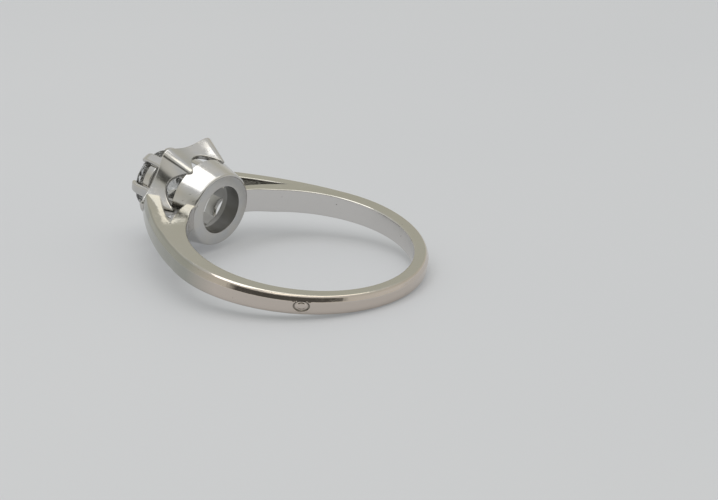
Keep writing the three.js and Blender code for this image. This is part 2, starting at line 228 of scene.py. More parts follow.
def shoulder_curve():
    """Control points, as (height from the finger axis, sideways), of the front shoulder's outer edge."""
    start_radius = FINGER_RADIUS + band_thickness(SHOULDER_START_ANGLE)
    start_turn = SHOULDER_START_ANGLE * DEG
    start = Vector((math.cos(start_turn), math.sin(start_turn))) * start_radius
    along = Vector((math.sin(start_turn), -math.cos(start_turn)))
    end = Vector((HEAD_BASE + TIP_HEIGHT, TIP_RADIUS - SHEET_THICKNESS))
    back_turn = (180 - SHOULDER_END_SLOPE) * DEG
    backwards = Vector((math.cos(back_turn), math.sin(back_turn)))
    outside_share = (end - start).length * SHOULDER_FULLNESS
    return start, start + along * outside_share, end + backwards * outside_share, end


def polar_table(offset_of):
    """The shoulder curve, moved in by offset_of(t), as (angle, radius) by rising angle.

    It runs on past the corolla, so that a branch can be followed into it.
    """
    a, b, c, d = shoulder_curve()
    table = []
    for i in range(CURVE_STEPS + CURVE_OVERRUN + 1):
        t = i / CURVE_STEPS
        u = 1 - t
        point = a * u ** 3 + b * 3 * u * u * t + c * 3 * u * t * t + d * t ** 3
        heading = ((b - a) * u * u + (c - b) * 2 * u * t + (d - c) * t * t).normalized()
        point += Vector((heading.y, -heading.x)) * offset_of(t)
        table.append((math.atan2(point.y, point.x) / DEG, point.length))
    return sorted(table)


def look_up(table, angle):
    """The radius at an angle, between a table's two nearest lines."""
    low, high = 0, len(table) - 1
    while high - low > 1:
        middle = (low + high) // 2
        if table[middle][0] <= angle:
            low = middle
        else:
            high = middle
    (a, ra), (b, rb) = table[low], table[high]
    return mix(ra, rb, (angle - a) / (b - a))


OUTER_EDGE = polar_table(lambda t: 0)
SHOULDER_INSIDE = polar_table(lambda t: mix(OUTER_BRANCH_THICKNESS, OUTER_BRANCH_END_THICKNESS, t))


def outer_radius(angle):
    """The band's outside: a plain taper, then the shoulder."""
    plain = FINGER_RADIUS + band_thickness(angle)
    if angle >= SHOULDER_START_ANGLE:
        return plain
    return max(plain, look_up(OUTER_EDGE, angle))


def slot_inner_radius(angle):
    """The outside of the inner branch."""
    fork = smooth((FORK_ANGLE - angle) / (FORK_ANGLE - CROTCH_ANGLE))
    return FINGER_RADIUS + mix(band_thickness(angle), INNER_BRANCH_THICKNESS, fork)


def slot_outer_radius(angle):
    """The inside of the outer branch."""
    return look_up(SHOULDER_INSIDE, angle)


def find_crotch():
    """The angle at which the slot between the two branches closes."""
    low, high = LOWEST_CROTCH, FORK_ANGLE
    for _ in range(CROTCH_HALVINGS):
        middle = (low + high) / 2
        if slot_outer_radius(middle) > slot_inner_radius(middle):
            low = middle
        else:
            high = middle
    return low


CROTCH = find_crotch()
SPLIT = (slot_inner_radius(CROTCH) - FINGER_RADIUS) / (outer_radius(CROTCH) - FINGER_RADIUS)


def half_width(angle, radius):
    """Half the band's width. Outside the fork it stays at the width where the shoulder starts."""
    inner = band_half_width(angle)
    outer = band_half_width(max(angle, SHOULDER_START_ANGLE))
    depth = (radius - FINGER_RADIUS) / (outer_radius(angle) - FINGER_RADIUS)
    return mix(inner, outer, depth)


def corner_points(near, far, half, radius, quadrant):
    """An edge's rounding as (radius, side) points. It lies between the two faces near a corner."""
    centre_r = far - radius if quadrant in (0, 3) else near + radius
    centre_z = half - radius if quadrant in (0, 1) else radius - half
    return arc(centre_r, centre_z, radius, quadrant * 90, quadrant * 90 + 90, SECTION_STEPS)


def line_points(start, end, steps):
    """Points strictly between two ends."""
    return [
        (mix(start[0], end[0], i / steps), mix(start[1], end[1], i / steps)) for i in range(1, steps)
    ]


def crowned(radius, side, near, far, half):
    """Shapes the outside: a worn slope along its upper edge, a tighter arch along its lower one."""
    depth = smooth((radius - near) / (far - near))
    share = side / half
    if share < 0:
        return radius - UNDERSIDE_CROWN * depth * abs(share) ** UNDERSIDE_POWER
    bend = min(max(share - RUBBED_START, 0), RUBBED_FULL - RUBBED_START)
    fall = bend ** 2 / (2 * (RUBBED_FULL - RUBBED_START)) + max(share - RUBBED_FULL, 0)
    return radius - RUBBED_SLOPE * half * depth * fall


def outer_part(angle, near, lead=0.0):
    """The section from its upper split point over the outside to its lower one.

    It starts and ends lead millimetres further out than near, to leave room for a rounding.
    """
    far = outer_radius(angle)
    half_near, half_far = half_width(angle, near), half_width(angle, far)
    upper = corner_points(near, far, half_far, OUTER_ROUND, 0)[::-1]
    lower = corner_points(near, far, half_far, OUTER_ROUND, 3)[::-1]
    face = line_points(upper[-1], lower[0], OUTSIDE_STEPS)
    start, end = (near + lead, half_near), (near + lead, -half_near)
    points = [
        start, *line_points(start, upper[0], FLANK_STEPS), *upper, *face,
        *lower, *line_points(lower[-1], end, FLANK_STEPS), end,
    ]
    return [(crowned(r, z, near, far, half_far), z) for r, z in points]


def inner_part(angle, far, lead=0.0):
    """The section from its lower split point round the finger side to its upper one."""
    filed = smooth((FILED_ANGLE - angle) / (FILED_ANGLE - FILED_FULL_ANGLE))
    near = FINGER_RADIUS + FILED_DEPTH * filed
    half_far, half_near = half_width(angle, far), half_width(angle, near)
    lower = corner_points(near, far, half_near, INNER_ROUND, 2)[::-1]
    upper = corner_points(near, far, half_near, INNER_ROUND, 1)[::-1]
    start, end = (far - lead, -half_far), (far - lead, half_far)
    return [
        start, *line_points(start, lower[0], FLANK_STEPS), *lower,
        *line_points(lower[-1], upper[0], INSIDE_STEPS), *upper,
        *line_points(upper[-1], end, FLANK_STEPS), end,
    ]


def wall_points(radius, half, rounding, outwards):
    """The slot's wall with its two roundings, from the upper side down, without its end points."""
    sign = -1 if outwards else 1
    upper = arc(0, 0, rounding, 90, 0, SECTION_STEPS)[1:]
    lower = arc(0, 0, rounding, 0, -90, SECTION_STEPS)[:-1]
    centre = radius + sign * rounding
    place_upper = [(centre - sign * x, half - rounding + y) for x, y in upper]
    place_lower = [(centre - sign * x, rounding - half + y) for x, y in lower]
    face = line_points(place_upper[-1], place_lower[0], WALL_STEPS)
    return [*place_upper, *face, *place_lower]


def slot_rounding(angle, full):
    """A slot edge's rounding, which grows from nothing at the crotch."""
    return full * smooth((CROTCH - angle) / SLOT_ROUND_RUN) * SLOT_ROUND_SHARE


def whole_section(angle):
    """The closed section of the unforked band, as (radius, side) points."""
    split = mix(FINGER_RADIUS, outer_radius(angle), SPLIT)
    return outer_part(angle, split)[:-1] + inner_part(angle, split)[:-1]


def outer_branch_section(angle):
    """The closed section of the branch that runs to the corolla."""
    near = slot_outer_radius(angle)
    rounding = slot_rounding(angle, INNER_ROUND)
    wall = wall_points(near, half_width(angle, near), rounding, outwards=False)
    return outer_part(angle, near, rounding) + wall[::-1]


def inner_branch_section(angle):
    """The closed section of the branch that runs to the collar."""
    far = slot_inner_radius(angle)
    rounding = slot_rounding(angle, SLOT_INNER_ROUND)
    wall = wall_points(far, half_width(angle, far), rounding, outwards=True)
    return inner_part(angle, far, rounding) + wall


def band_point(angle, radius, side, mirror):
    """A point of the band. A mirror of -1 puts it on the rear arm."""
    point = plane_direction(angle) * radius
    return Vector((point.x, point.y * mirror, side))


def marked(angle, radius, side):
    """Sinks the outside of the band by the oval mark's depth where the mark is."""
    surface = outer_radius(min(angle, 360 - angle))
    if radius < surface - MARK_REACH:
        return radius
    along = (angle - MARK_ANGLE) * DEG * surface / (MARK_LENGTH / 2)
    distance = math.hypot(along, side / (MARK_HEIGHT / 2))
    rim = smooth((1 - distance) / MARK_RIM_WIDTH)
    dome = MARK_DOME_RISE * smooth((MARK_DOME_EDGE - distance) / MARK_DOME_WIDTH)
    lip = MARK_LIP_RISE * math.exp(-((distance - MARK_LIP_MIDDLE) / MARK_LIP_WIDTH) ** 2)
    return radius - MARK_DEPTH * (rim * (1 - dome) - lip)


def hoop_angles():
    """Angles round the hoop from fork to fork, with fine steps where the mark is."""
    angles = [CROTCH]
    while angles[-1] < 360 - CROTCH:
        near_mark = abs(angles[-1] - MARK_ANGLE) < MARK_SPAN
        angles.append(angles[-1] + (MARK_STEP if near_mark else HOOP_STEP))
    angles[-1] = 360 - CROTCH
    return angles


def corolla_radius(azimuth, height):
    """The radius of the corolla's outer surface. Past its top and its foot it stays the same."""
    foot, top = skirt(azimuth)
    along = (height - foot[1]) / (top[1] - foot[1])
    return mix(foot[0], top[0], min(1, max(0, along)))


def depth_in_corolla(point):
    """How far inside the corolla's outer surface a point is, in millimetres."""
    azimuth, radius, height = head_coordinates(point)
    return corolla_radius(azimuth, height) - radius


def depth_in_collar(point):
    """How far inside the collar's outer surface a point is, in millimetres."""
    _, radius, height = head_coordinates(point)
    flare = min(1, max(0, height / COLLAR_HEIGHT))
    return mix(COLLAR_RADIUS, COLLAR_TOP_RADIUS, flare) - radius


def branch_end(section, index, depth_in):
    """The angle at which one line of a branch's section has run deep enough into the head."""
    low, high = LOWEST_BRANCH_END, CROTCH
    for _ in range(BRANCH_HALVINGS):
        middle = (low + high) / 2
        radius, side = section(middle)[index]
        if depth_in(band_point(middle, radius, side, 1)) > BURIAL:
            low = middle
        else:
            high = middle
    return high


def branch_rows(section, depth_in):
    """Rows of (angle, radius, side) from the crotch to the head, each line ended on its own."""
    count = len(section(CROTCH))
    ends = [branch_end(section, j, depth_in) for j in range(count)]
    rows = []
    for i in range(BRANCH_STEPS + 1):
        along = i / BRANCH_STEPS
        row = []
        for j in range(count):
            angle = mix(CROTCH, ends[j], along)
            radius, side = section(angle)[j]
            row.append((angle, radius, side))
        rows.append(row)
    return rows


def make_band(material):
    """The hoop from fork to fork, and the four branches, each closed where it is inside the head."""
    vertices = []
    angles = hoop_angles()
    for angle in angles:
        folded = min(angle, 360 - angle)
        for radius, side in whole_section(folded):
            vertices.append(band_point(angle, marked(angle, radius, side), side, 1))
    faces = grid_faces(len(angles), len(whole_section(CROTCH)))
    branches = ((outer_branch_section, depth_in_corolla), (inner_branch_section, depth_in_collar))
    for section, depth_in in branches:
        rows = branch_rows(section, depth_in)
        for mirror in (1, -1):
            first = len(vertices)
            for row in rows:
                vertices += [band_point(angle, radius, side, mirror) for angle, radius, side in row]
            faces += grid_faces(len(rows), len(rows[0]), first)
            last = len(vertices) - len(rows[0])
            faces.append(tuple(range(last, len(vertices))))
    make_piece("band", vertices, faces, material, "white_gold_band", "shank", BAND_CREASE)


# ---------------------------------------------------------------- head

ROUND_STEPS = 180
PANEL_STEPS = 60
FILLET_STEPS, SHEET_FILLET_STEPS = 6, 5
CLAW_STEPS, CLAW_CORNER_STEPS = 72, 6
GIRDLE_STEPS = 6
COLLAR_CREASE, COROLLA_CREASE, CLAW_CREASE = 40, 50, 50
SMALLEST_TIP = 0.0004


def skirt(azimuth):
    """The corolla's outer surface at an azimuth: its foot and its top as (radius, height).

    Each panel is hollow like a parabola and bends back round its ridge.
    """
    half = PITCH / 2
    from_middle = 1 - abs(azimuth % PITCH - half) / half
    near_ridge = max(0, from_middle - 1 + RIDGE_SOFTNESS)
    start = min(from_middle, 1 - RIDGE_SOFTNESS)
    slope = 2 * (1 - RIDGE_SOFTNESS)
    hollow = start ** 2 + slope * (near_ridge - near_ridge ** 2 / (2 * RIDGE_SOFTNESS))
    hollow /= 1 - RIDGE_SOFTNESS
    foot = (
        mix(PANEL_FOOT_RADIUS, RIDGE_FOOT_RADIUS, hollow) * COROLLA_TRIM,
        mix(PANEL_FOOT_HEIGHT, RIDGE_FOOT_HEIGHT, hollow),
    )
    top = (
        mix(PANEL_TOP_RADIUS, TIP_RADIUS, hollow) * COROLLA_TRIM,
        mix(PANEL_TOP_HEIGHT, TIP_HEIGHT, hollow),
    )
    return foot, top


def turned(outline):
    """Vertices and faces of a closed (radius, height) outline turned about the head axis."""
    vertices = []
    for i in range(ROUND_STEPS):
        vertices += [head_point(360 * i / ROUND_STEPS, radius, height) for radius, height in outline]
    return vertices, grid_faces(ROUND_STEPS, len(outline), looped=True)


def fillet_outline(corners, steps=FILLET_STEPS):
    """A closed outline from (radius, height, rounding) corners, each rounded by a smooth curve."""
    points = []
    count = len(corners)
    for i, (x, y, rounding) in enumerate(corners):
        here = Vector((x, y))
        before = (Vector(corners[i - 1][:2]) - here).normalized()
        after = (Vector(corners[(i + 1) % count][:2]) - here).normalized()
        start, end = here + before * rounding, here + after * rounding
        for j in range(steps + 1):
            t = j / steps
            points.append(start * (1 - t) ** 2 + here * 2 * t * (1 - t) + end * t * t)
    return [(p.x, p.y) for p in points]


def make_collar(material):
    outline = fillet_outline([
        (COLLAR_BORE_RADIUS, 0, COLLAR_BORE_FILLET),
        (COLLAR_RADIUS, 0, COLLAR_FACE_FILLET),
        (COLLAR_TOP_RADIUS, COLLAR_HEIGHT, COLLAR_RIM_FILLET),
        (COLLAR_UPPER_BORE_RADIUS, COLLAR_HEIGHT, COLLAR_INSIDE_FILLET),
        (COLLAR_UPPER_BORE_RADIUS, COLLAR_STEP_HEIGHT, COLLAR_STEP_FILLET),
        (COLLAR_BORE_RADIUS, COLLAR_STEP_HEIGHT, COLLAR_INSIDE_FILLET),
    ])
    make_piece("collar_tube", *turned(outline), material, "white_gold_head", "collar", COLLAR_CREASE)


def make_corolla(material):
    """The sheet skirt: one outline at each azimuth, set inwards by the sheet's thickness."""
    steps = PANEL_STEPS * POINTS
    vertices = []
    for i in range(steps):
        azimuth = 360 * i / steps
        (foot_r, foot_h), (top_r, top_h) = skirt(azimuth)
        foot, top = Vector((foot_r, foot_h)), Vector((top_r, top_h))
        lean = (top - foot).normalized()
        inwards = Vector((-lean.y, lean.x)) * SHEET_THICKNESS
        outline = fillet_outline([
            (*foot, COROLLA_FOOT_FILLET),
            (*top, COROLLA_TOP_FILLET),
            (*(top + inwards), COROLLA_TOP_FILLET),
            (*(foot + inwards), COROLLA_FOOT_FILLET),
        ], SHEET_FILLET_STEPS)
        vertices += [head_point(azimuth, radius, height) for radius, height in outline]
    faces = grid_faces(steps, len(outline), looped=True)
    make_piece("star_corolla", vertices, faces, material, "white_gold_head", "corolla", COROLLA_CREASE)


def make_seat_ring(material):
    outer = STONE_RADIUS - CLAW_BITE - SEAT_RING_CLEARANCE
    bore = outer - SEAT_RING_THICKNESS
    top = GIRDLE_HEIGHT - GIRDLE_THICKNESS / 2 - SEAT_RING_DROP
    bottom = top - SEAT_RING_HEIGHT
    outline = fillet_outline([
        (bore, bottom, 0.06), (outer, bottom, 0.1), (outer, top, 0.1), (bore, top - SEAT_RING_SLOPE, 0.04),
    ])
    make_piece("stone_seat", *turned(outline), material, "white_gold_head", "seat_ring")


def stone_radius_at(height):
    """The stone's radius at a height, for the notch that a claw is cut with."""
    half = GIRDLE_THICKNESS / 2
    if height > GIRDLE_HEIGHT + half:
        rise = (height - GIRDLE_HEIGHT - half) / CROWN_HEIGHT
        return mix(STONE_RADIUS, TABLE_RADIUS, rise)
    if height < GIRDLE_HEIGHT - half:
        drop = (GIRDLE_HEIGHT - half - height) / PAVILION_DEPTH
        return STONE_RADIUS * (1 - drop)
    return STONE_RADIUS


def claw_section(half, inner_depth, outer_depth, inner_round, outer_round):
    """(depth, side) points round a claw's section: soft outside corners and slight inside ones."""
    steps = CLAW_CORNER_STEPS
    return [
        *arc(outer_depth - outer_round, half - outer_round, outer_round, 0, 90, steps),
        *arc(inner_depth + inner_round, half - inner_round, inner_round, 90, 180, steps),
        *arc(inner_depth + inner_round, inner_round - half, inner_round, 180, 270, steps),
        *arc(outer_depth - outer_round, outer_round - half, outer_round, 270, 360, steps),
    ]


def claw_spine(along):
    """A point of a claw's middle line as (radius, height), and how far the claw has turned there.

    The claw stands upright and then bends in over the stone's edge.
    """
    middle = STONE_RADIUS - CLAW_BITE + CLAW_THICKNESS / 2
    bend_start = GIRDLE_HEIGHT - CLAW_BEND_DROP
    foot = COLLAR_HEIGHT - CLAW_FOOT_SINK
    straight = bend_start - foot
    curved = CLAW_BEND_RADIUS * (CLAW_BEND_TURN * DEG)
    travel = along * (straight + curved)
    if travel <= straight:
        return Vector((middle, foot + travel)), 0
    turn = (travel - straight) / CLAW_BEND_RADIUS
    radius = middle - CLAW_BEND_RADIUS * (1 - math.cos(turn))
    height = bend_start + CLAW_BEND_RADIUS * math.sin(turn)
    return Vector((radius, height)), turn


def make_claw(number, azimuth, material):
    """One claw: a bar that thins upwards, its tip rounded and pressed down on the stone's crown."""
    vertices = []
    centre = head_point(azimuth, 0, 0)
    outward = head_point(azimuth, 1, 0) - centre
    upward = Vector((-1, 0, 0))
    sideways = upward.cross(outward)
    for i in range(CLAW_STEPS + 1):
        along = i / CLAW_STEPS
        place, turn = claw_spine(along)
        closing = max(0, (along - CLAW_TIP_START) / CLAW_TIP_SHARE)
        shrink = math.sqrt(max(SMALLEST_TIP, 1 - closing ** 2))
        half = mix(CLAW_FOOT_WIDTH, CLAW_TIP_WIDTH, along) / 2 * shrink
        depth = CLAW_THICKNESS / 2 * mix(1, shrink, CLAW_TIP_FLATNESS)
        out_axis = outward * math.cos(turn) + upward * math.sin(turn)
        rounding = min(half, depth) * CLAW_OUTER_ROUNDNESS
        for away, side in claw_section(half, -depth, depth, rounding * CLAW_INNER_ROUNDNESS, rounding):
            point = head_point(azimuth, place.x, place.y) + out_axis * away + sideways * side
            _, radius, height = head_coordinates(point)
            if away < 0 and height > GIRDLE_HEIGHT - CLAW_NOTCH_DROP:
                room = stone_radius_at(height) + CLAW_NOTCH_CLEARANCE
                local = (point - centre).dot(outward)
                if local < room:
                    point += outward * (room - local)
            vertices.append(point)
    count = len(vertices) // (CLAW_STEPS + 1)
    faces = grid_faces(CLAW_STEPS + 1, count)
    faces.append(tuple(range(count)))
    faces.append(tuple(range(CLAW_STEPS * count, (CLAW_STEPS + 1) * count)))
    name = f"claw_{number}"
    make_piece(f"{name}_bar", vertices, faces, material, "white_gold_head", name, CLAW_CREASE)


def make_stone(material):
    """A round brilliant with a table, stars, bezels, upper and lower girdle facets and pavilion mains."""
    top, bottom = GIRDLE_HEIGHT + GIRDLE_THICKNESS / 2, GIRDLE_HEIGHT - GIRDLE_THICKNESS / 2
    cos_half = math.cos(22.5 * DEG)
    fall = (STAR_RADIUS * cos_half - TABLE_RADIUS) / (STONE_RADIUS - TABLE_RADIUS)
    star_height = top + CROWN_HEIGHT * (1 - fall)
    culet = Vector((0, 0, bottom - PAVILION_DEPTH))
    lower_radius = STONE_RADIUS * LOWER_FACET_REACH
    lower_height = culet.z + PAVILION_DEPTH * lower_radius * cos_half / STONE_RADIUS

    def ring_point(turn, radius, height):
        return Vector((radius * math.cos(turn), radius * math.sin(turn), height))

    def plane_height(a, b, c, turn):
        """The height at which the plane through three points meets the girdle at a turn."""
        normal = (b - a).cross(c - a)
        x, y = STONE_RADIUS * math.cos(turn), STONE_RADIUS * math.sin(turn)
        return a.z - (normal.x * (x - a.x) + normal.y * (y - a.y)) / normal.z

    polygons = [[ring_point(k * TAU / 8, TABLE_RADIUS, top + CROWN_HEIGHT) for k in range(8)]]
    for k in range(8):
        turn, step = k * TAU / 8, TAU / 8
        table_a = ring_point(turn, TABLE_RADIUS, top + CROWN_HEIGHT)
        table_b = ring_point(turn + step, TABLE_RADIUS, top + CROWN_HEIGHT)
        star = ring_point(turn + step / 2, STAR_RADIUS, star_height)
        star_before = ring_point(turn - step / 2, STAR_RADIUS, star_height)
        low = ring_point(turn + step / 2, lower_radius, lower_height)
        low_before = ring_point(turn - step / 2, lower_radius, lower_height)
        girdle = ring_point(turn, STONE_RADIUS, top)
        girdle_low = ring_point(turn, STONE_RADIUS, bottom)
        polygons += [[table_a, table_b, star], [table_a, star, girdle, star_before]]
        polygons += [[culet, low, girdle_low, low_before]]
        for half in (0, 1):
            start, end = turn + half * step / 2, turn + (half + 1) * step / 2
            turns = [mix(start, end, i / GIRDLE_STEPS) for i in range(GIRDLE_STEPS + 1)]
            upper = (star, ring_point(start, STONE_RADIUS, top), ring_point(end, STONE_RADIUS, top))
            lower = (low, ring_point(start, STONE_RADIUS, bottom), ring_point(end, STONE_RADIUS, bottom))
            rim_up = [ring_point(t, STONE_RADIUS, plane_height(*upper, t)) for t in turns]
            rim_down = [ring_point(t, STONE_RADIUS, plane_height(*lower, t)) for t in turns]
            polygons += [[star, *rim_up], [low, *rim_down]]
            polygons += [
                [rim_up[i], rim_up[i + 1], rim_down[i + 1], rim_down[i]] for i in range(GIRDLE_STEPS)
            ]
    vertices, faces = [], []
    for polygon in polygons:
        first = len(vertices)
        vertices += [Vector((-(HEAD_BASE + p.z), -p.y, p.x)) for p in polygon]
        faces.append(tuple(range(first, len(vertices))))
    make_piece("brilliant_stone", vertices, faces, material, "brilliant", "stone", crease=0)


# ---------------------------------------------------------------- materials

# Band, by where a face points: plating inside, olive sides and warm bare alloy outside, darker and
# more olive on the outside towards the head. The groove colour darkens the mark's rim.
BAND_COLOURS = [
    (0.08, (0.69, 0.67, 0.65)), (0.3, (0.53, 0.515, 0.455)),
    (0.62, (0.54, 0.52, 0.45)), (0.9, (0.65, 0.58, 0.52)),
]
HEADWARD_DARK_COLOUR = (0.41, 0.41, 0.37)
HEADWARD_DARK_SHIFT = 0.3
BAND_ROUGHNESS, BAND_DENTS = 0.07, 0.75
GROOVE_COLOUR, GROOVE_STRENGTH = (0.13, 0.12, 0.1), 0.8
GROOVE_STOPS = [(0.7, 0.0), (0.82, 1.0), (0.97, 1.0), (1.0, 0.0)]

# Head: bright outside. Inside, painted shade makes it dark near the collar's bore and a duller grey
# further up.
HEAD_COLOURS = [(0.35, (0.56, 0.56, 0.56)), (0.65, (0.61, 0.59, 0.555))]
HEAD_INSIDE_SHADE_COLOURS = [(0.24, (0.25, 0.245, 0.235)), (0.3, (0.5, 0.495, 0.48))]
HEAD_DEPTH_SCALE = 0.2
HEAD_ROUGHNESS, HEAD_DULLNESS, HEAD_DENTS = 0.12, 0.25, 0.3

# Both golds: each family of hairlines as (turn, noise scale), then the depths of the bumps.
HAIRLINES = (
    ((0.4, 0.2, 0.7), 5.5), ((1.1, 0.9, -0.5), 5.0), ((0.1, 1.5, 1.9), 5.0), ((0.3, -0.4, 1.35), 5.0),
)
HAIRLINE_STRETCH, HAIRLINE_WIDTH, HAIRLINE_HAZE = 22.0, 0.01, 0.12
PITS_PER_MM, PIT_STOPS, PIT_GATE = 2.3, [(0.06, 1.0), (0.13, 0.0)], [(0.55, 0.0), (0.6, 1.0)]
PIT_COLOUR, PIT_STRENGTH = (0.12, 0.11, 0.1), 0.7
HAZE_STOPS = [(0.4, 0.0), (0.72, 0.07)]
BUMP_UNIT = 0.00001
WAVE_HEIGHT, HAIRLINE_DEPTH, PIT_DEPTH = 1.3, 0.16, 0.8

# Stone: painted shade greys it below, clear above.
STONE_INDEX = 2.417
STONE_SHADE_COLOURS = [(0.5, (0.42, 0.42, 0.41)), (1.0, (0.97, 0.975, 0.98))]
STONE_SHADE_UNEVENNESS = 0.5
DUST_STOPS = [(0.45, 0.0), (0.8, 0.12)]

# Paper, with a faint glow of its own: painted light that lifts its shadows.
PAPER_COLOURS = [(0.3, (0.405, 0.415, 0.435)), (0.7, (0.42, 0.428, 0.445))]
PAPER_ROUGHNESS, PAPER_TOOTH, PAPER_TOOTH_HEIGHT = 0.6, 3500.0, 0.00002
PAPER_GLOW, PAPER_GLOW_STRENGTH = (0.95, 0.97, 1.0, 1.0), 0.19


def node(tree, kind, inputs=None, **settings):
    """A node with its inputs linked or set, and its own settings."""
    made = tree.nodes.new(kind)
    for name, value in settings.items():
        setattr(made, name, value)
    for name, value in (inputs or {}).items():
        if isinstance(value, bpy.types.NodeSocket):
            tree.links.new(value, made.inputs[name])
        else:
            made.inputs[name].default_value = value
    return made


def maths(tree, operation, a, b=0.0):
    """A sum on numbers, as a socket."""
    return node(tree, "ShaderNodeMath", {0: a, 1: b}, operation=operation).outputs[0]


def vectors(tree, operation, a, b=(0, 0, 0)):
    """A sum on vectors, as a socket."""
    made = node(tree, "ShaderNodeVectorMath", {0: a, 1: b}, operation=operation)
    return made.outputs["Value" if operation in ("DOT_PRODUCT", "LENGTH") else "Vector"]


def ramp(tree, factor, stops):
    """A colour ramp. Its stops are (place, grey or colour)."""
    made = node(tree, "ShaderNodeValToRGB", {"Fac": factor})
    elements = made.color_ramp.elements
    while len(elements) < len(stops):
        elements.new(0.5)
    for element, (place, value) in zip(elements, stops):
        element.position = place
        element.color = (*value, 1) if isinstance(value, tuple) else (value, value, value, 1)
    return made.outputs["Color"]


def blend(tree, factor, a, b):
    """Mixes two colours. Each is a socket or three numbers."""
    made = tree.nodes.new("ShaderNodeMix")
    made.data_type = "RGBA"
    for index, value in ((0, factor), (6, a), (7, b)):
        if isinstance(value, bpy.types.NodeSocket):
            tree.links.new(value, made.inputs[index])
        else:
            made.inputs[index].default_value = (*value, 1)
    return made.outputs[2]


def noise(tree, place, scale, detail=2.0, roughness=0.5):
    inputs = {"Vector": place, "Scale": scale, "Detail": detail, "Roughness": roughness}
    return node(tree, "ShaderNodeTexNoise", inputs).outputs["Fac"]


def new_material(name):
    """An empty node material and its tree."""
    material = bpy.data.materials.new(name)
    material.use_nodes = True
    material.node_tree.nodes.clear()
    return material, material.node_tree


def finish(material, inputs):
    """Ends a material with one shader."""
    shader = node(material.node_tree, "ShaderNodeBsdfPrincipled", inputs)
    output = node(material.node_tree, "ShaderNodeOutputMaterial")
    material.node_tree.links.new(shader.outputs["BSDF"], output.inputs["Surface"])


def ring_place(tree):
    """The ring-frame place of a surface point, in millimetres, and its ring-frame normal."""
    coordinates = node(tree, "ShaderNodeTexCoord")
    place = node(tree, "ShaderNodeMapping", {
        "Vector": coordinates.outputs["Object"], "Location": opening["pos_m"],
        "Rotation": (0, tilt, 0), "Scale": (MM, MM, MM),
    }, vector_type="TEXTURE").outputs["Vector"]
    normal = node(tree, "ShaderNodeVectorRotate", {
        "Vector": coordinates.outputs["Normal"], "Angle": -tilt,
    }, rotation_type="Y_AXIS").outputs["Vector"]
    return place, normal


def hairlines(tree, place, normal, turn, scale):
    """Fine straight scratches: a drawn-out noise's narrow middle band, where it lies in the surface."""
    drawn = node(tree, "ShaderNodeMapping", {
        "Vector": place, "Rotation": turn, "Scale": (1.0, HAIRLINE_STRETCH, 1.0),
    }, vector_type="TEXTURE").outputs["Vector"]
    along = Euler(turn).to_matrix() @ Vector((0, 1, 0))
    steep = maths(tree, "ABSOLUTE", vectors(tree, "DOT_PRODUCT", normal, along))
    away = maths(tree, "ABSOLUTE", maths(tree, "SUBTRACT", noise(tree, drawn, scale, 0.0), 0.5))
    narrow = ramp(tree, away, [(0.0, 1.0), (HAIRLINE_WIDTH, 0.0)])
    gate = ramp(tree, noise(tree, place, 0.9, 1.0), [(0.5, 0.0), (0.62, 1.0)])
    strokes = maths(tree, "MULTIPLY", narrow, gate)
    return maths(tree, "MULTIPLY", strokes, ramp(tree, steep, [(0.25, 1.0), (0.55, 0.0)]))


def finish_metal(material, tree, place, normal, colour, roughness, dents):
    """Adds what both golds share: hairlines, small pits, a soft hand-polished waviness and haze."""
    families = [hairlines(tree, place, normal, turn, scale) for turn, scale in HAIRLINES]
    lines = families[0]
    for family in families[1:]:
        lines = maths(tree, "MAXIMUM", lines, family)
    cells = node(tree, "ShaderNodeTexVoronoi", {"Vector": place, "Scale": PITS_PER_MM}, feature="F1")
    pits = ramp(tree, cells.outputs["Distance"], PIT_STOPS)
    pits = maths(tree, "MULTIPLY", pits, ramp(tree, noise(tree, place, 0.5, 1.0), PIT_GATE))
    haze = ramp(tree, noise(tree, place, 1.7, 4.0, 0.6), HAZE_STOPS)
    gloss = maths(tree, "ADD", haze, roughness)
    gloss = maths(tree, "ADD", gloss, maths(tree, "MULTIPLY", lines, HAIRLINE_HAZE))
    height = maths(tree, "MULTIPLY", noise(tree, place, 0.75, 1.0), WAVE_HEIGHT)
    height = maths(tree, "ADD", height, maths(tree, "MULTIPLY", noise(tree, place, 2.0, 3.0), dents))
    height = maths(tree, "SUBTRACT", height, maths(tree, "MULTIPLY", lines, HAIRLINE_DEPTH))
    height = maths(tree, "SUBTRACT", height, maths(tree, "MULTIPLY", pits, PIT_DEPTH))
    bump = node(tree, "ShaderNodeBump", {"Height": height, "Strength": 1.0, "Distance": BUMP_UNIT})
    colour = blend(tree, maths(tree, "MULTIPLY", pits, PIT_STRENGTH), colour, PIT_COLOUR)
    finish(material, {
        "Base Color": colour, "Roughness": gloss, "Metallic": 1.0, "Normal": bump.outputs["Normal"],
    })


def mark_distance(tree, place):
    """How far a point is from the oval mark's middle, as a share of the oval."""
    middle = plane_direction(MARK_ANGLE)
    surface = FINGER_RADIUS + band_thickness(MARK_ANGLE)
    across = vectors(tree, "DOT_PRODUCT", place, (-middle.y, middle.x, 0))
    out = vectors(tree, "DOT_PRODUCT", place, middle)
    up = vectors(tree, "DOT_PRODUCT", place, (0, 0, 1))
    oval = node(tree, "ShaderNodeCombineXYZ", {
        "X": maths(tree, "DIVIDE", across, MARK_LENGTH / 2),
        "Y": maths(tree, "DIVIDE", up, MARK_HEIGHT / 2),
        "Z": maths(tree, "SUBTRACT", surface, out),
    }).outputs["Vector"]
    return vectors(tree, "LENGTH", oval)


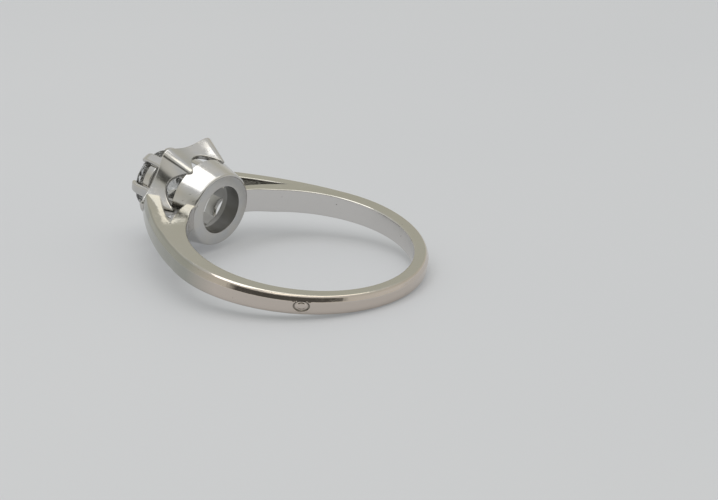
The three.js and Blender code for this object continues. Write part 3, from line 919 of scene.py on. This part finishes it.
def band_gold(name):
    """The band's worn white gold, coloured by where each face points and how near the head it is."""
    material, tree = new_material(name)
    place, normal = ring_place(tree)
    outwards = vectors(tree, "NORMALIZE", vectors(tree, "MULTIPLY", place, (1, 1, 0)))
    facing = maths(tree, "ADD", vectors(tree, "DOT_PRODUCT", outwards, normal), 1.0)
    facing = maths(tree, "MULTIPLY", facing, 0.5)
    patches = maths(tree, "SUBTRACT", noise(tree, place, 0.42, 3.0), 0.5)
    facing = maths(tree, "ADD", facing, maths(tree, "MULTIPLY", patches, 0.5))
    colour = ramp(tree, facing, BAND_COLOURS)
    outside = ramp(tree, facing, [(0.62, 0.0), (0.8, 1.0)])
    # Outside faces turn darker and more olive towards the head.
    headwards = maths(tree, "MULTIPLY", vectors(tree, "DOT_PRODUCT", place, (-1, 0, 0)), 0.1)
    headward_dark = ramp(tree, maths(tree, "ADD", headwards, HEADWARD_DARK_SHIFT), [(0.2, 0.0), (0.5, 1.0)])
    colour = blend(tree, maths(tree, "MULTIPLY", outside, headward_dark), colour, HEADWARD_DARK_COLOUR)
    # The mark's rim is made darker.
    groove = ramp(tree, mark_distance(tree, place), GROOVE_STOPS)
    colour = blend(tree, maths(tree, "MULTIPLY", groove, GROOVE_STRENGTH), colour, GROOVE_COLOUR)
    finish_metal(material, tree, place, normal, colour, BAND_ROUGHNESS, BAND_DENTS)
    return material


def head_height(tree, place):
    """A surface point's height above the head's base, in millimetres."""
    return maths(tree, "SUBTRACT", vectors(tree, "DOT_PRODUCT", place, (-1, 0, 0)), HEAD_BASE)


def head_gold(name):
    """The head: plated and bright outside; inside it is rougher and darkened by painted shade."""
    material, tree = new_material(name)
    place, normal = ring_place(tree)
    outwards = vectors(tree, "NORMALIZE", vectors(tree, "MULTIPLY", place, (0, 1, 1)))
    facing = vectors(tree, "DOT_PRODUCT", outwards, normal)
    facing = maths(tree, "ADD", maths(tree, "MULTIPLY", facing, 0.5), 0.5)
    bright = ramp(tree, noise(tree, place, 0.6, 3.0), HEAD_COLOURS)
    # Inside faces get painted shade, darkest near the collar's bore, and more roughness.
    outside_share = ramp(tree, facing, [(0.15, 0.0), (0.42, 1.0)])
    height = maths(tree, "MULTIPLY", head_height(tree, place), HEAD_DEPTH_SCALE)
    colour = blend(tree, outside_share, ramp(tree, height, HEAD_INSIDE_SHADE_COLOURS), bright)
    dull = maths(tree, "MULTIPLY", maths(tree, "SUBTRACT", 1.0, outside_share), HEAD_DULLNESS)
    roughness = maths(tree, "ADD", dull, HEAD_ROUGHNESS)
    finish_metal(material, tree, place, normal, colour, roughness, HEAD_DENTS)
    return material


def cut_stone(name):
    """A colourless brilliant: clear above, with painted shade that greys it unevenly below the girdle."""
    material, tree = new_material(name)
    place, _ = ring_place(tree)
    # Painted shade: the stone turns grey below its girdle, unevenly.
    unevenness = maths(tree, "MULTIPLY", noise(tree, place, 1.2, 3.0), STONE_SHADE_UNEVENNESS)
    height = maths(tree, "ADD", head_height(tree, place), unevenness)
    painted_stone_shade = ramp(tree, maths(tree, "SUBTRACT", height, GIRDLE_HEIGHT - 1), STONE_SHADE_COLOURS)
    dust = ramp(tree, noise(tree, place, 1.5, 4.0, 0.65), DUST_STOPS)
    finish(material, {
        "Base Color": painted_stone_shade, "Roughness": dust, "IOR": STONE_INDEX, "Transmission Weight": 1.0,
    })
    return material


def paper(name):
    """The pale sheet the ring lies on, with a very fine tooth and a faint even glow, painted light that
    lifts its shadows.
    """
    material, tree = new_material(name)
    place = node(tree, "ShaderNodeTexCoord").outputs["Object"]
    colour = ramp(tree, noise(tree, place, 14.0, 2.0), PAPER_COLOURS)
    tooth = noise(tree, place, PAPER_TOOTH, 3.0)
    bump = node(tree, "ShaderNodeBump", {
        "Height": tooth, "Strength": 0.2, "Distance": PAPER_TOOTH_HEIGHT,
    })
    finish(material, {
        "Base Color": colour, "Roughness": PAPER_ROUGHNESS, "Normal": bump.outputs["Normal"],
        "Emission Color": PAPER_GLOW, "Emission Strength": PAPER_GLOW_STRENGTH,
    })
    return material


# ---------------------------------------------------------------- the ring

band_metal = band_gold("white_gold_band")
head_metal = head_gold("white_gold_head")

make_band(band_metal)
make_collar(head_metal)
make_corolla(head_metal)
make_seat_ring(head_metal)
for claw in range(POINTS):
    make_claw(claw + 1, PITCH / 2 + PITCH * claw, head_metal)
make_stone(cut_stone("brilliant"))

# ---------------------------------------------------------------- floor, light and camera

FLOOR_GAP = 0.00002
FLOOR_REACH = 0.6

# The room's grey by height, and the dark shelf on its near side that the front arm mirrors.
ROOM_STRENGTH = 1.28
ROOM_COLOURS = [
    (0.0, (0.54, 0.54, 0.52)), (0.45, (0.45, 0.445, 0.40)), (0.8, (0.56, 0.565, 0.565)),
]
DARK_SIDE, DARK_SIDE_STOPS = (0.64, -0.77, 0.0), [(0.6, 0.0), (0.7, 1.0)]
SHELF_STOPS = [(0.14, 0.0), (0.22, 0.86), (0.4, 0.86), (0.5, 0.0)]

# Lights that face straight down: name, place, size, power and colour.
LIGHTS = (
    ("overhead_panel", (-0.0525, -0.066, 0.30), (0.147, 0.336), 0.25, (1.0, 0.99, 0.965)),
    ("warm_strip", (0.12, 0.0, 0.30), (0.09, 0.40), 0.14, (1.0, 0.94, 0.79)),
)

CAMERA_PLACE = Vector((105.036, -107.44, 53.102)) * MM
CAMERA_RIGHT = Vector((0.74845, 0.66313, -0.00891))
CAMERA_UP = Vector((-0.21057, 0.25037, 0.94497))
CAMERA_FORWARD = Vector((-0.62888, 0.70539, -0.32703))
FOCAL_PIXELS, FRAME_PIXELS, SENSOR_WIDTH = 2100, 718, 36
CLIP_START, CLIP_END = 0.005, 10


def make_floor():
    """A sheet just under the ring."""
    mesh = bpy.data.meshes.new("pale_floor")
    outside_share = FLOOR_REACH
    corners = [(-outside_share, -outside_share), (outside_share, -outside_share), (outside_share, outside_share), (-outside_share, outside_share)]
    mesh.from_pydata([(x, y, -FLOOR_GAP) for x, y in corners], [], [(0, 1, 2, 3)])
    floor = bpy.data.objects.new("pale_floor", mesh)
    bpy.context.collection.objects.link(floor)
    mesh.materials.append(paper("pale_paper"))


def make_light(name, place, size, power, colour):
    data = bpy.data.lights.new(name, "AREA")
    data.shape = "RECTANGLE"
    data.size, data.size_y = size
    data.energy = power
    data.color = colour
    light = bpy.data.objects.new(name, data)
    bpy.context.collection.objects.link(light)
    light.location = place


def make_world():
    """A grey room, a little olive half-way up, with one dark shelf on the near side."""
    world = bpy.data.worlds.new("soft_room")
    world.use_nodes = True
    tree = world.node_tree
    tree.nodes.clear()
    direction = node(tree, "ShaderNodeTexCoord").outputs["Generated"]
    height = vectors(tree, "DOT_PRODUCT", direction, (0, 0, 1))
    side = ramp(tree, vectors(tree, "DOT_PRODUCT", direction, DARK_SIDE), DARK_SIDE_STOPS)
    shade = maths(tree, "MULTIPLY", side, ramp(tree, height, SHELF_STOPS))
    colour = blend(tree, shade, ramp(tree, height, ROOM_COLOURS), (0.0, 0.0, 0.0))
    background = node(tree, "ShaderNodeBackground", {"Color": colour, "Strength": ROOM_STRENGTH})
    output = node(tree, "ShaderNodeOutputWorld")
    tree.links.new(background.outputs["Background"], output.inputs["Surface"])
    bpy.context.scene.world = world


def make_camera():
    """The photograph's viewpoint. Its lens comes from a focal length in the frame's pixels."""
    data = bpy.data.cameras.new("photo_camera")
    data.sensor_fit = "HORIZONTAL"
    data.sensor_width = SENSOR_WIDTH
    data.lens = SENSOR_WIDTH * FOCAL_PIXELS / FRAME_PIXELS
    data.clip_start, data.clip_end = CLIP_START, CLIP_END
    camera = bpy.data.objects.new("photo_camera", data)
    bpy.context.collection.objects.link(camera)
    axes = Matrix((CAMERA_RIGHT, CAMERA_UP, -CAMERA_FORWARD)).transposed().to_4x4()
    camera.matrix_world = Matrix.Translation(CAMERA_PLACE) @ axes
    bpy.context.scene.camera = camera


make_floor()
make_world()
for light in LIGHTS:
    make_light(*light)
make_camera()
bpy.context.scene.view_settings.view_transform = "Standard"
